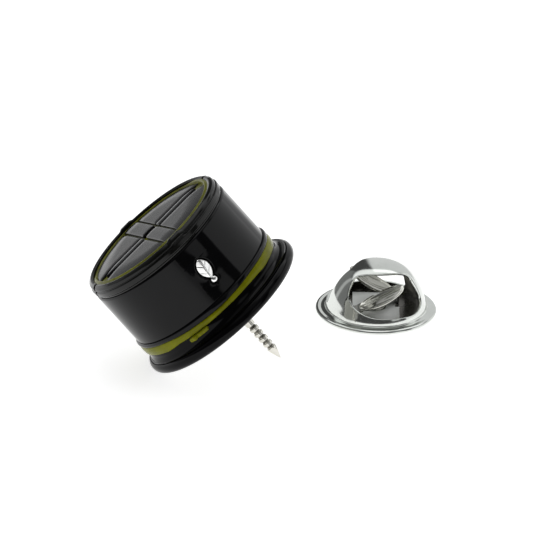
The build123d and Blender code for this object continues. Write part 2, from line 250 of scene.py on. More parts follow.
def turned(profile, columns=96, place=Matrix.Identity(4)):
    """Solid turned about Z. The first and last points of the profile are on the axis."""
    verts = [(0, 0, profile[0][1]), (0, 0, profile[-1][1])]
    rings = profile[1:-1]
    for radius, height in rings:
        for k in range(columns):
            a = 2 * math.pi * k / columns
            verts.append((radius * math.cos(a), radius * math.sin(a), height))
    faces = []
    last = 2 + (len(rings) - 1) * columns
    for k in range(columns):
        m = (k + 1) % columns
        faces.append((0, 2 + m, 2 + k))
        faces.append((1, last + k, last + m))
        for j in range(len(rings) - 1):
            a, b = 2 + j * columns, 2 + (j + 1) * columns
            faces.append((a + k, a + m, b + m, b + k))
    return [tuple(place @ Vector(v)) for v in verts], faces


def smooth_step(value, start, end):
    share = max(0.0, min(1.0, (value - start) / (end - start)))
    return share * share * (3 - 2 * share)


def table_value(table, value):
    return float(np.interp(value, [row[0] for row in table], [row[1] for row in table]))


# ---- badge outline ----
LEAF_HALF, LEAF_SIDE, BERRY = 1.13, 0.7, 0.34
BERRY_DROP = LEAF_HALF + BERRY * 0.8
LEAF_ARC = (LEAF_HALF ** 2 + LEAF_SIDE ** 2) / (2 * LEAF_SIDE)


def badge_distance(x, height):
    """Distance outside the outline of the leaf and its berry."""
    offset = LEAF_ARC - LEAF_SIDE
    leaf = max(math.hypot(x + offset, height), math.hypot(x - offset, height)) - LEAF_ARC
    if abs(height) > LEAF_HALF:
        leaf = max(leaf, math.hypot(x, abs(height) - LEAF_HALF))
    berry = math.hypot(x, height + BERRY_DROP) - BERRY
    return min(leaf, berry)


# ---- side wall ----
FIELD_LOW, FIELD_HIGH, FIELD_ANGLE = 4.7, 8.1, 20    # the part of the wall with finer rows, round the badge
RECESS, LIP = 0.3, 0.05                              # depth of the badge's recess, height of its lip


def wall_profile(angle):
    """Wall outline at an azimuth, sunk under the badge, with a soft lip round it."""
    a = math.radians(angle)
    points = []
    for radius, height in WALL_OUTLINE:
        if radius > BODY - 0.02 and abs(angle) < FIELD_ANGLE:
            gap = badge_distance(BODY * math.sin(a), height - BADGE_MIDDLE)
            radius -= RECESS * (1 - smooth_step(gap, 0.04, 0.17))
            radius += LIP * math.exp(-max(0, gap - 0.15) / 0.3) * smooth_step(gap, 0.1, 0.2)
        points.append((radius, height))
    return points


wall_outline = rounded([(CORE, WELT_TOP, 0), (BODY, WELT_TOP, 0.1), (BODY, WALL_TOP, 0.22),
                        (CORE, WALL_TOP, 0.05)], 0.3)
WALL_OUTLINE = [p for p in wall_outline if not (p[0] > BODY - 0.02 and FIELD_LOW < p[1] < FIELD_HIGH)]
cut = max(i for i, p in enumerate(WALL_OUTLINE) if p[0] > BODY - 0.02 and p[1] <= FIELD_LOW) + 1
WALL_OUTLINE[cut:cut] = [(BODY, FIELD_LOW + 0.045 * k) for k in range(76)]
put("hat_side_wall", *swept(wall_profile, azimuths(1.0, [(-10, 10, 0.25)])), HAT, BLACK, "black_enamel",
    "pin", "side_wall_enamel", sharp=80)


# ---- badge ----
def badge_leaf():
    """Folded leaf: two sloping halves, a curved midrib and side veins."""
    along, across = 80, 40
    verts, faces = [], []
    for top in (True, False):
        for i in range(along + 1):
            height = -LEAF_HALF + 2 * LEAF_HALF * (0.5 - 0.5 * math.cos(math.pi * i / along))
            width = math.sqrt(max(0, LEAF_ARC ** 2 - height ** 2)) - (LEAF_ARC - LEAF_SIDE)
            for j in range(across + 1):
                share = -math.cos(math.pi * j / across)
                x = share * width
                middle = 0.1 * math.sin(height * 1.9)
                away = math.sqrt((x - middle) ** 2 + 0.03 ** 2) - 0.03
                edge = max(0.0, 1 - (width - abs(x)) / 0.09) if width > 0.02 else 1.0
                radius = BODY + 0.17 - 0.36 * away - 0.06 * height * height
                radius -= 0.028 * math.exp(-((x - middle) / 0.035) ** 2)
                vein = math.sin((height - 0.9 * away) * 8.5)
                radius -= 0.02 * max(0.0, vein) ** 12 * smooth_step(away, 0.03, 0.12)
                radius -= 0.1 * edge ** 2
                if not top:
                    radius = CORE
                verts.append((x, -math.sqrt(radius ** 2 - x * x), BADGE_MIDDLE + height))
    row = across + 1
    sheet_size = row * (along + 1)
    for i in range(along):
        for j in range(across):
            a = i * row + j
            faces.append((a, a + 1, a + row + 1, a + row))
            a += sheet_size
            faces.append((a + row, a + row + 1, a + 1, a))
    for i in range(along):
        for j in (0, across):
            a = i * row + j
            faces.append((a, a + row, a + row + sheet_size, a + sheet_size))
    return verts, faces


berry_profile = [(0, 0.0), (BERRY * 0.98, 0.0), (BERRY, 0.42)]
berry_profile += [(BERRY * math.cos(math.radians(t)), 0.45 + 0.26 * math.sin(math.radians(t)))
                  for t in range(0, 90, 9)]
berry_profile.append((0, 0.71))
berry_place = Matrix.Translation((0, -CORE, BADGE_MIDDLE - BERRY_DROP)) @ turn(90, "X")
put("hat_badge", *joined(badge_leaf(), turned(berry_profile, 40, berry_place)), HAT, SILVER, "badge_silver",
    "pin", "badge", sharp=55)

# ---- brim, step, band, knot and welt ----
# heights of the band's lower and upper edge, as (azimuth, height)
step_line = [(-180, 2.12), (-62, 2.12), (-50, 2.33), (-20, 2.36), (12, 2.37), (24, 2.3), (36, 2.14),
             (60, 2.08), (180, 2.12)]
band_line = [(-180, 3.12), (-58, 3.12), (-42, 3.0), (-25, 2.95), (-8, 2.9), (12, 3.0), (25, 3.08), (60, 3.04),
             (180, 3.12)]
INSIDE = CORE - 0.02
brim_edge = rounded([(INSIDE, 0, 0), (BRIM, 0, 0.56), (BRIM, BRIM_THICK, 0.56),
                     (8.56, BRIM_THICK, 0)], 0.18, 12)
brim_edge = [p for p in brim_edge if p[0] > METAL and not (p[1] > 1.15 and p[0] < 8.6)]
quarter = [math.pi / 2 * k / 14 for k in range(1, 15)]
cove = [(8.48 - 0.5 * math.sin(t), 1.8 - 0.64 * math.cos(t)) for t in quarter]


def brim_profile(angle):
    """Brim round the metal disc: rolled edge, hollow curve, and the step that the band stands on."""
    top = table_value(step_line, angle) + 0.03
    points = brim_edge + [(8.56, 1.185)] + cove
    points += [(7.97, top - 0.06), (7.94, top - 0.01), (7.88, top), (7.7, top), (INSIDE, top), (INSIDE, 1.0)]
    seat = [(INSIDE, METAL_TOP, 0.0), (METAL, METAL_TOP, 1.0), (METAL, 0.0, 1.0)]
    return seat + [(radius, height, smooth_step(radius, 8.0, 8.5)) for radius, height in points]


put("hat_brim", *swept(brim_profile, azimuths(1.0)), HAT, BRIM_LOOK, "black_enamel", "pin", "brim")


def band_profile(angle):
    """Slightly bulged band between the two lines."""
    low, high = table_value(step_line, angle), table_value(band_line, angle)
    belly = BAND - 0.04 * smooth_step(angle, -40, -30) * (1 - smooth_step(angle, 14, 40))
    return rounded([(CORE, low, 0), (belly - 0.03, low, 0.12), (belly + 0.015, (low + high) / 2, 0.4),
                    (belly - 0.03, high, 0.12), (CORE, high, 0)], 0.3)


KNOT_START, KNOT_END = -41.5, -25.0


def knot():
    """Loose end of the band, folded over its lower edge."""
    root, out, half = BODY - 0.05, BAND + 0.19, 0.2
    shape = rounded([(root, -half, 0), (out, -half, 0.12), (out, half, 0.12), (root, half, 0)], 0.15)
    angles = [KNOT_START + 0.5 * k for k in range(34)]

    def profile(angle):
        end = min(angle - KNOT_START, KNOT_END - angle) / 1.2
        size = math.sqrt(max(0.0, 1 - (1 - min(1, end)) ** 2)) * 0.85 + 0.15
        fold = 1 + 0.25 * math.exp(-((angle + 37) / 1.6) ** 2)
        crease = 0.09 * math.exp(-((angle + 34.2) / 0.7) ** 2)
        middle = 2.06 + 0.005 * (angle + 41)
        grow = size * fold - crease * 2
        return [(root + (r - root) * grow, middle + z * size * fold) for r, z in shape]

    return swept(profile, angles, closed=False)


put("hat_band", *joined(swept(band_profile, azimuths(1.0)), knot()), HAT, OLIVE, "olive_enamel", "pin",
    "hat_band")


def welt_profile(angle):
    """Black welt between the band and the wall."""
    low = table_value(band_line, angle) - 0.03
    high = WELT_TOP + 0.01
    return rounded([(CORE, low, 0), (BAND + 0.01, low, 0.16), (BAND + 0.01, high, 0.16),
                    (CORE, high, 0)], 0.3, 8)


put("hat_welt", *swept(welt_profile, azimuths(1.0)), HAT, BLACK, "black_enamel", "pin", "band_welt")


# ---- crown ----
def raised(outline_points, bottom, height, edge, rings=6):
    """Raised shape with a rounded top edge. height(x, y) gives its top."""
    points = [np.array(p) for p in outline_points]
    count = len(points)
    area = sum(points[i - 1][0] * points[i][1] - points[i][0] * points[i - 1][1] for i in range(count))
    if area < 0:
        points = points[::-1]
    inward = []
    for i in range(count):
        run = points[(i + 1) % count] - points[i - 1]
        run = run / np.linalg.norm(run)
        inward.append(np.array((-run[1], run[0])))
    centre = sum(points) / count
    turns = [math.pi / 2 * k / 5 for k in range(1, 6)]
    levels = [(0.0, None), (0.0, edge)] + [(edge * (1 - math.cos(t)), edge * (1 - math.sin(t)))
                                           for t in turns]
    verts, faces = [], []
    for inset, drop in levels:
        for p, n in zip(points, inward):
            q = p + n * inset
            z = bottom if drop is None else height(*q) - drop
            verts.append((q[0], q[1], z))
    for k in range(1, rings):
        for p, n in zip(points, inward):
            q = p + n * edge
            q = q + (centre - q) * (k / rings)
            verts.append((q[0], q[1], height(*q)))
    last = (len(levels) + rings - 2) * count
    for j in range(len(levels) + rings - 2):
        for i in range(count):
            m = (i + 1) % count
            faces.append((j * count + i, j * count + m, (j + 1) * count + m, (j + 1) * count + i))
    verts.append((centre[0], centre[1], height(*centre)))
    faces += [(last + i, last + (i + 1) % count, len(verts) - 1) for i in range(count)]
    faces.append(tuple(range(count))[::-1])
    return verts, faces


STRAP_WIDTH, RIDGE_WIDTH = 1.55, 1.1
GAP_X, GAP_Y = STRAP_WIDTH / 2 + 0.2, RIDGE_WIDTH / 2 + 0.16   # where the pads start, beside strap and ridge
PAD_EDGE = RIM_IN - 0.3                                        # radius where the pads end
FLAT_TO = 4.6                                                  # the pieces fall away outside this radius
SUNK = FLOOR_TOP - 0.02                                        # bottom of the raised pieces
LOWEST_PAD = 10.58


def pad_outline(side, end):
    start = math.asin(GAP_Y / PAD_EDGE)
    stop = math.acos(GAP_X / PAD_EDGE)
    turns = [start + (stop - start) * k / 40 for k in range(41)]
    corners = [(GAP_X, GAP_Y, 0.12)]
    corners += [(PAD_EDGE * math.cos(t), PAD_EDGE * math.sin(t), 0.1 if t in (turns[0], turns[-1]) else 0)
                for t in turns]
    return [(side * x, end * y) for x, y in rounded(corners, 0.15, 5)]


def pad_height(x, y):
    outer = 0.048 * max(0.0, math.hypot(x, y) - FLAT_TO) ** 2
    to_ridge = max(0, 1 - (abs(y) - GAP_Y) / 0.5)
    to_strap = max(0, 1 - (abs(x) - GAP_X) / 0.4)
    return max(LOWEST_PAD, PAD_TOP + 0.12 - outer - 0.05 * to_ridge ** 2 - 0.04 * to_strap ** 2)


def ridge_height(x, y):
    return PAD_TOP + 0.14 - 0.2 * y * y - 0.05 * max(0, abs(x) - FLAT_TO) ** 2


def strap_height(x, y):
    return PAD_TOP + 0.19 - 0.1 * x * x - 0.04 * max(0, abs(y) - FLAT_TO) ** 2


def put_crown(name, shape, height, edge, rings, node):
    put(name, *raised(shape, SUNK, height, edge, rings), HAT, CROWN, "crown_enamel", "pin", node)


RIDGE_END, RIDGE_POINT, STRAP_START, STRAP_END = 6.3, 1.6, 0.45, 6.86
half_ridge, half_strap = RIDGE_WIDTH / 2, STRAP_WIDTH / 2
for side, x_name in ((-1, "left"), (1, "right")):
    for end, y_name in ((-1, "front"), (1, "back")):
        put_crown(f"crown_quarter_{y_name}_{x_name}", pad_outline(side, end), pad_height, 0.1, 10,
                  f"crown_pad_{y_name}_{x_name}")
    shoulder = side * (RIDGE_END - RIDGE_POINT)
    shape = rounded([(side * GAP_X, -half_ridge, 0.1), (shoulder, -half_ridge, 0.5),
                     (side * RIDGE_END, 0, 0.12), (shoulder, half_ridge, 0.5),
                     (side * GAP_X, half_ridge, 0.1)], 0.15)
    put_crown(f"crown_bar_{x_name}", shape, ridge_height, 0.13, 8, f"crown_ridge_{x_name}")
for end, y_name in ((-1, "front"), (1, "back")):
    near, far = end * STRAP_START, end * STRAP_END
    shape = rounded([(-half_strap, near, 0.12), (half_strap, near, 0.12), (half_strap, far, 0.1),
                     (-half_strap, far, 0.1)], 0.15)
    put_crown(f"crown_block_{y_name}", shape, strap_height, 0.1, 8, f"crown_strap_{y_name}")

# coloured floor, with a bead beside the rim: (radius, height under the bead's crest), then (radius, height)
BEAD = [(7.22, -0.2), (7.2, -0.13), (7.13, -0.08), (7.06, -0.035), (6.99, -0.005), (6.94, 0.0), (6.89, -0.02),
        (6.85, -0.08), (6.82, -0.18)]
FLOOR_LOW, FLOOR_SHOWN = 10.1, 10.5


def floor_profile(angle):
    """The bead's crest is lower at the back."""
    crest = 10.95 - 0.28 * smooth_step(abs(angle), 92, 122)
    bead = [(radius, crest + height) for radius, height in BEAD]
    return ([(7.22, FLOOR_LOW)] + bead + [(radius, FLOOR_SHOWN) for radius in (6.78, 6.4, 3.0, 0.0)] +
            [(0.0, FLOOR_LOW), (3.0, FLOOR_LOW)])


put("crown_colour", *swept(floor_profile, azimuths(1.5)), HAT, PIPING, "olive_enamel", "pin", "crown_floor")

rim_shape = rounded([(RIM_IN, WALL_TOP, 0), (RIM_OUT - 0.02, WALL_TOP, 0.04), (RIM_OUT, 9.66, 0.06),
                     (RIM_OUT + 0.14, 9.78, 0.12), (RIM_OUT + 0.14, 10.24, 0.12),
                     (RIM_OUT - 0.05, 10.34, 0.05), (RIM_OUT + 0.05, 10.46, 0.1),
                     (RIM_OUT - 0.02, 10.7, 0.2), (7.47, 10.9, 0.25), (RIM_IN, 10.84, 0.1)], 0.12, 7)
RIM_MIDDLE = (7.5, 10.3)
SEAM = 0.7              # half the gap between the rim's halves, in degrees
FRONT_END, BACK_START = 90 - SEAM, 90 + SEAM


def rim_profile(front):
    """Rim outline that narrows at the seams and rises a little over the straps."""
    def profile(angle):
        near = FRONT_END - abs(angle) if front else abs(angle) - BACK_START
        distance = math.radians(max(0, near)) * RIM_MIDDLE[0]
        edge = 0.2
        inset = edge - math.sqrt(max(0, edge ** 2 - max(0, edge - distance) ** 2))
        hump = 0.13 * (1 - smooth_step(abs(angle) if front else 180 - abs(angle), 4.2, 7.2))
        points = []
        for r, z in rim_shape:
            away = math.hypot(r - RIM_MIDDLE[0], z - RIM_MIDDLE[1])
            r, z = (v - (v - m) / away * min(inset, away) for v, m in zip((r, z), RIM_MIDDLE))
            top = smooth_step(z, 10.1, 10.5)
            points.append((r + hump * top * (0.5 if r > 7.5 else -0.3), z + hump * top))
        return points
    return profile


def rim_angles(start, end):
    """Every degree between the ends, and closer together near them."""
    ends = [0, 0.1, 0.2, 0.35, 0.5, 0.7, 0.9, 1.2, 1.6]
    between = [float(a) for a in range(math.ceil(start) + 2, math.floor(end) - 1)]
    return [start + e for e in ends] + between + [end - e for e in reversed(ends)]


def back_rim(angle):
    return rim_profile(False)(angle if angle <= 180 else angle - 360)


put("crown_roll_front", *swept(rim_profile(True), rim_angles(-FRONT_END, FRONT_END), closed=False), HAT, RIM,
    "black_enamel", "pin", "crown_rim_front")
put("crown_roll_back", *swept(back_rim, rim_angles(BACK_START, 360 - BACK_START), closed=False), HAT, RIM,
    "black_enamel", "pin", "crown_rim_back")

# ---- post ----
POST_LENGTH, POST_RADIUS, TAPER = 7.84649, 0.5, 1.53
POST_X, POST_Y = 1.36, 1.32
GROOVE_DEPTH, GROOVE_HALF = 0.17, 0.19
grooves = [-POST_LENGTH + 1.73 + 0.66 * k for k in range(5)]
profile = [(0, 0.35), (1.44, 0.35), (1.5, 0.29), (1.5, 0.0), (0.56, 0.0), (0.5, -0.06)]     # head
z = -0.2
while z > -POST_LENGTH + TAPER:
    dip = sum(GROOVE_DEPTH * math.cos(math.pi / 2 * min(1, abs(z - g) / GROOVE_HALF)) ** 1.2 for g in grooves)
    profile.append((POST_RADIUS - dip, z))
    z -= 0.025
for k in range(1, 25):
    share = k / 24
    profile.append((POST_RADIUS * (1 - share ** 1.25) * 0.97 + 0.015,
                    -POST_LENGTH + TAPER - (TAPER - 0.02) * share))
profile.append((0, -POST_LENGTH))
post = put("lapel_post", *turned(profile, 72, Matrix.Translation((POST_X, POST_Y, 0))), HAT, POST,
           "post_nickel", "pin", "post")
# painted dark reflection of the hat's underside in the grooves, wider on a side that turns from groove to
# groove
post.data.materials.append(GROOVE_REFLECTION)
for face in post.data.polygons:
    x, y, z = HAT.inverted() @ face.center
    for k, g in enumerate(grooves):
        side = math.cos(math.atan2(y - POST_Y, x - POST_X) - math.radians(20 + 150 * k))
        if abs(z - g) < 0.05 + 0.07 * max(0, side):
            face.material_index = 1

# ---- clutch shell: dome, flange and windows ----
SHEET = 0.28            # thickness of the sheet
FOCUS = 1.0             # height of the point on the axis that the windows' directions start from
WINDOW_EDGE = 0.07      # radius of the windows' rounded edges
MESH = 0.12             # spacing of the points on the dome
# the dome's outside, as (radius, height) from its top to its foot
knots = np.array([(0, 5.1), (1.05, 5.05), (2.05, 4.85), (2.9, 4.45), (3.55, 3.85), (4.08, 3.1), (4.5, 2.3),
                  (4.85, 1.2), (5.0, 0.62)])
chord = np.concatenate([[0], np.cumsum(np.linalg.norm(np.diff(knots, axis=0), axis=1))])


def spline_slopes(values, first, last):
    """Slopes of a smooth curve through the values, with set slopes at its ends."""
    size = len(values)
    steps = np.diff(chord)
    matrix = np.zeros((size, size))
    right = np.zeros(size)
    matrix[0, 0] = matrix[-1, -1] = 1
    right[0], right[-1] = first, last
    for i in range(1, size - 1):
        matrix[i, i - 1] = 1 / steps[i - 1]
        matrix[i, i] = 2 * (1 / steps[i - 1] + 1 / steps[i])
        matrix[i, i + 1] = 1 / steps[i]
        rises = (values[i] - values[i - 1]) / steps[i - 1] ** 2 + (values[i + 1] - values[i]) / steps[i] ** 2
        right[i] = 3 * rises
    return np.linalg.solve(matrix, right)


slopes = np.stack([spline_slopes(knots[:, 0], 1, 0.15), spline_slopes(knots[:, 1], 0, -0.99)], axis=1)


def dome(s):
    """Points and outward normals (radius, height) of the dome at arc lengths s from its top."""
    s = np.atleast_1d(np.asarray(s, float))
    i = np.clip(np.searchsorted(chord, s, side="right") - 1, 0, len(chord) - 2)
    h = (chord[i + 1] - chord[i])[:, None]
    t = (s[:, None] - chord[i][:, None]) / h
    p0, p1, m0, m1 = knots[i], knots[i + 1], slopes[i] * h, slopes[i + 1] * h
    point = (2 * t ** 3 - 3 * t ** 2 + 1) * p0 + (t ** 3 - 2 * t ** 2 + t) * m0
    point = point + (3 * t ** 2 - 2 * t ** 3) * p1 + (t ** 3 - t ** 2) * m1
    along = (6 * t ** 2 - 6 * t) * (p0 - p1) + (3 * t ** 2 - 4 * t + 1) * m0 + (3 * t ** 2 - 2 * t) * m1
    along = along / np.linalg.norm(along, axis=1)[:, None]
    return point, np.stack([-along[:, 1], along[:, 0]], axis=1)


S_END = float(chord[-1])
samples = np.linspace(0, S_END, 4000)
sample_points, _ = dome(samples)
sample_rise = np.arctan2(sample_points[:, 1] - FOCUS, sample_points[:, 0])


def on_dome(s, angle, depth=0.0):
    point, normal = dome(s)
    point = point - normal * depth
    return np.stack([point[:, 0] * np.cos(angle), point[:, 0] * np.sin(angle), point[:, 1]], axis=1)


def dome_normal(s, angle):
    _, normal = dome(s)
    return np.stack([normal[:, 0] * np.cos(angle), normal[:, 0] * np.sin(angle), normal[:, 1]], axis=1)


def to_dome(points):
    """Arc lengths and angles of the dome's points that lie in the same directions from the focus."""
    rise = np.arctan2(points[:, 2] - FOCUS, np.hypot(points[:, 0], points[:, 1]))
    return np.interp(-rise, -sample_rise, samples), np.arctan2(points[:, 1], points[:, 0])


def window_ring(corners, about, step=0.09):
    """Points round a window's edge on the dome, evenly spaced."""
    flat = []
    for around, above, corner in corners:
        around, above = math.radians(around), math.radians(above)
        flat.append((math.tan(around), math.tan(above) / math.cos(around), corner))
    flat = rounded(flat, 0.02, 24)
    angle = math.radians(about)
    directions = np.array([(x * math.cos(angle) + math.sin(angle), x * math.sin(angle) - math.cos(angle), y)
                           for x, y in flat])
    ring = on_dome(*to_dome(directions + np.array((0, 0, FOCUS))))
    ring = np.vstack([ring, ring[:1]])
    length = np.concatenate([[0], np.cumsum(np.linalg.norm(np.diff(ring, axis=0), axis=1))])
    places = np.linspace(0, length[-1], int(length[-1] / step), endpoint=False)
    even = np.stack([np.interp(places, length, ring[:, k]) for k in range(3)], axis=1)
    return on_dome(*to_dome(even))


def inside(points, ring):
    """Which of the flat points lie in the ring."""
    x, y = points[:, 0], points[:, 1]
    found = np.zeros(len(points), bool)
    for (x0, y0), (x1, y1) in zip(ring, np.roll(ring, -1, axis=0)):
        crosses = (y0 > y) != (y1 > y)
        with np.errstate(divide="ignore", invalid="ignore"):
            found ^= crosses & (x < (x1 - x0) * (y - y0) / (y1 - y0) + x0)
    return found


def window_edge(ring):
    """Rounded edge of the sheet round a window, and the ring where it meets the dome, laid flat."""
    s, angle = to_dome(ring)
    normal = dome_normal(s, angle)
    along = np.roll(ring, -1, axis=0) - np.roll(ring, 1, axis=0)
    along /= np.linalg.norm(along, axis=1)[:, None]
    away = np.cross(normal, along)
    away *= np.sign(np.sum(away * (ring - ring.mean(axis=0)), axis=1).sum())
    edge = WINDOW_EDGE
    outer_s, outer_angle = to_dome(ring + away * edge)
    loops = [on_dome(outer_s, outer_angle)]
    for k in range(1, 6):
        t = math.pi / 2 * k / 5
        loops.append(ring + away * edge * (1 - math.sin(t)) - normal * edge * (1 - math.cos(t)))
    for k in range(5):
        t = math.pi / 2 * k / 5
        loops.append(ring + away * edge * (1 - math.cos(t)) - normal * (SHEET - edge * (1 - math.sin(t))))
    loops.append(on_dome(outer_s, outer_angle, SHEET))
    verts = [tuple(p) for loop in loops for p in loop]
    return (verts, strips(len(loops), len(ring))), flat_points(outer_s, outer_angle)


def strips(rows, count):
    """Faces between rows of count points that close on themselves."""
    return [(j * count + i, j * count + (i + 1) % count,
             (j + 1) * count + (i + 1) % count, (j + 1) * count + i)
            for j in range(rows - 1) for i in range(count)]


def flat_points(s, angle):
    """The dome laid flat: arc length as distance from the middle."""
    return np.stack([s * np.cos(angle), s * np.sin(angle)], axis=1)


def dome_sheet(flat_rings, rim_angle):
    """Outer and inner face of the dome, cut out by the windows."""
    points = [flat_points(S_END, rim_angle)] + flat_rings
    edges, start = [], 0
    for ring in points:
        edges += [(start + i, start + (i + 1) % len(ring)) for i in range(len(ring))]
        start += len(ring)
    filling = [np.zeros((1, 2))]
    for s in np.arange(MESH, S_END - 0.07, MESH):
        count = max(6, int(2 * math.pi * dome(s)[0][0, 0] / MESH))
        filling.append(flat_points(s, (np.arange(count) + 0.5 * (round(s / MESH) % 2)) * 2 * math.pi / count))
    filling = np.vstack(filling)
    keep = np.ones(len(filling), bool)
    for ring in flat_rings:
        keep &= ~inside(filling, ring)
        for i in range(0, len(filling), 500):
            some = filling[i:i + 500]
            keep[i:i + 500] &= np.min(np.linalg.norm(some[:, None] - ring[None], axis=2), axis=1) > MESH / 2
    points = np.vstack(points + [filling[keep]])
    flat, _, triangles, *_ = delaunay_2d_cdt([Vector(p) for p in points], edges, [], 0, 1e-7, False)
    flat = np.array([tuple(p) for p in flat])
    triangles = np.array([tuple(t) for t in triangles])
    middles = flat[triangles].mean(axis=1)
    hole = np.zeros(len(triangles), bool)
    for ring in flat_rings:
        hole |= inside(middles, ring)
    triangles = [tuple(int(i) for i in t) for t in triangles[~hole]]
    used = sorted(set(i for t in triangles for i in t))
    renumber = {old: new for new, old in enumerate(used)}
    triangles = [tuple(renumber[i] for i in t) for t in triangles]
    s = np.minimum(np.linalg.norm(flat, axis=1)[used], S_END)
    angle = np.arctan2(flat[:, 1], flat[:, 0])[used]
    return joined(([tuple(p) for p in on_dome(s, angle)], triangles),
                  ([tuple(p) for p in on_dome(s, angle, SHEET)], [t[::-1] for t in triangles]))


def flange(rim_angle):
    """From the dome's foot outwards, round the rolled edge and back underneath, as (radius, height)."""
    foot, normal = dome(S_END)
    run = [tuple(foot[0])]
    run += [(5.0 + 0.12 * (1 - math.cos(t)), 0.60 - 0.13 * math.sin(t))
            for t in [math.pi / 2 * k / 6 for k in range(1, 7)]]
    run += [(5.2, 0.46), (5.32, 0.435), (5.42, 0.42), (5.52, 0.42), (5.62, 0.43), (5.7, 0.43)]
    run += [(5.74 + 0.24 * math.sin(t), 0.21 + 0.215 * math.cos(t))
            for t in [math.pi * k / 14 for k in range(1, 14)]]
    run += [(5.72, 0.0), (5.55, 0.0), (5.43, 0.0), (5.4, 0.03), (5.4, 0.25), (4.9, 0.25), (4.73, 0.26),
            (4.72, 0.3)]
    run.append(tuple(foot[0] - normal[0] * SHEET))
    verts = [(r * math.cos(a), r * math.sin(a), z) for r, z in run for a in rim_angle]
    return verts, strips(len(run), len(rim_angle))


def clutch_shell():
    """Closed shell: windows' edges, dome and flange, which meet point by point."""
    rim_angle = np.arange(300) * 2 * math.pi / 300
    windows = [window_edge(window_ring(corners, about)) for corners, about in WINDOWS]
    sheet = dome_sheet([flat_ring for _, flat_ring in windows], rim_angle)
    return joined(*(edge for edge, _ in windows), sheet, flange(rim_angle))


# each window: corners as (degrees round, degrees above the focus, corner radius), and where it faces
WINDOWS = (
    (((-25, 3, 1.6), (40, 0, 1.8), (56, 8, 0.5), (59, 46, 0.35), (0, 60.5, 1.5), (-64, 50, 0.25),
      (-60, 24, 1.2), (-46, 12, 1.6)), 16),
    (((-70, 1, 0.3), (70, 1, 0.3), (70, 53, 0.3), (0, 61, 0.5), (-70, 53, 0.3)), 211),
)
put("clutch_dome", *clutch_shell(), CLUTCH, SHELL, "clutch_nickel", "clutch", "clutch_shell")


# ---- finger wings ----
REACH, HALF_WIDTH, DISH, STRIP = 2.45, 1.75, 0.25, 0.2
BOWL = (REACH ** 2 + DISH ** 2) / (2 * DISH)
TILT_DEGREES = 28.5
TILT = math.radians(TILT_DEGREES)
WING_X, WING_Y, WING_Z = 0.5227, -2.1, 2.307    # middle of the front wing's pad from the clutch's axis
NOTCH = 0.6                                     # radius of the notch, round the clutch's axis
PAD_ROUND = 0.075                               # width of the pad's rounded edge


def wing():
    """Dished finger pad with a raised rim, pressed lines and a notch beside the post."""
    rings, columns = 26, 120
    shares = [math.sin(math.pi / 2 * k / rings) for k in range(1, rings + 1)]

    def outline(angle):
        x, y = REACH * math.cos(angle), HALF_WIDTH * math.sin(angle)
        for _ in range(3):
            across = 0.523 + x * math.cos(TILT)
            beside = y + WING_Y
            if math.hypot(across, beside) < NOTCH and beside < 0:
                y = -WING_Y - math.sqrt(max(0, NOTCH ** 2 - across ** 2))
        return x, y

    def middle(x, y):
        height = -DISH + (x * x + y * y) / (2 * BOWL)
        rim = (x / REACH) ** 2 + (y / HALF_WIDTH) ** 2
        height += 0.09 * smooth_step(rim, 0.72, 1.0)
        for shift, depth in ((0.78, 0.075), (0.32, 0.06), (-0.95, 0.05)):
            away = y - shift + 0.09 * x * x
            height -= depth * math.exp(-(away / 0.11) ** 2) * (1 - smooth_step(rim, 0.55, 0.8))
        height += (0.06 * math.exp(-((y + 0.2 + 0.05 * x * x) / 0.09) ** 2)
                   * (1 - smooth_step(abs(x - 0.7), 0.3, 0.7)))
        return height

    verts, faces = [], []
    for face_side in (1, -1):
        verts.append((0, 0, middle(0, 0) + face_side * STRIP / 2))
        for share in shares:
            for k in range(columns):
                x, y = outline(2 * math.pi * k / columns)
                scale = share * (1 - PAD_ROUND / math.hypot(x, y))
                verts.append((x * scale, y * scale, middle(x * scale, y * scale) + face_side * STRIP / 2))
    size = 1 + rings * columns
    for base in (0, size):
        for k in range(columns):
            m = (k + 1) % columns
            faces.append((base, base + 1 + k, base + 1 + m))
            for j in range(rings - 1):
                a, b = base + 1 + j * columns, base + 1 + (j + 1) * columns
                faces.append((a + k, b + k, b + m, a + m))
    edge_start = len(verts)
    arcs = 7
    for j in range(arcs + 1):
        t = math.pi * j / arcs
        for k in range(columns):
            x, y = outline(2 * math.pi * k / columns)
            base = 1 - PAD_ROUND / math.hypot(x, y)
            grow = base + (1 - base) * math.sin(t)
            verts.append((x * grow, y * grow, middle(x * base, y * base) + STRIP / 2 * math.cos(t)))
    for j in range(arcs):
        for k in range(columns):
            m = (k + 1) % columns
            a, b = edge_start + j * columns, edge_start + (j + 1) * columns
            faces.append((a + k, b + k, b + m, a + m))
    return verts, faces


def neck():
    """Strip from the pad down to its fold."""
    section = rounded([(-0.9, -0.1, 0.05), (0.9, -0.1, 0.05), (0.9, 0.1, 0.05), (-0.9, 0.1, 0.05)], 0.3, 4)
    verts, faces = [], []
    places = [-2.9, -2.7, -2.5, -2.3, -2.1]
    for x in places:
        flare = 1 + 0.12 * smooth_step(x, -2.6, -2.2)
        drop = -0.05 * smooth_step(x, -2.5, -2.1)
        verts += [(x, y * flare, z + drop) for y, z in section]
    size = len(section)
    for j in range(len(places) - 1):
        for k in range(size):
            m = (k + 1) % size
            faces.append((j * size + k, j * size + m, (j + 1) * size + m, (j + 1) * size + k))
    faces.append(tuple(range(size)))
    faces.append(tuple(range(len(verts) - size, len(verts)))[::-1])
    return verts, faces


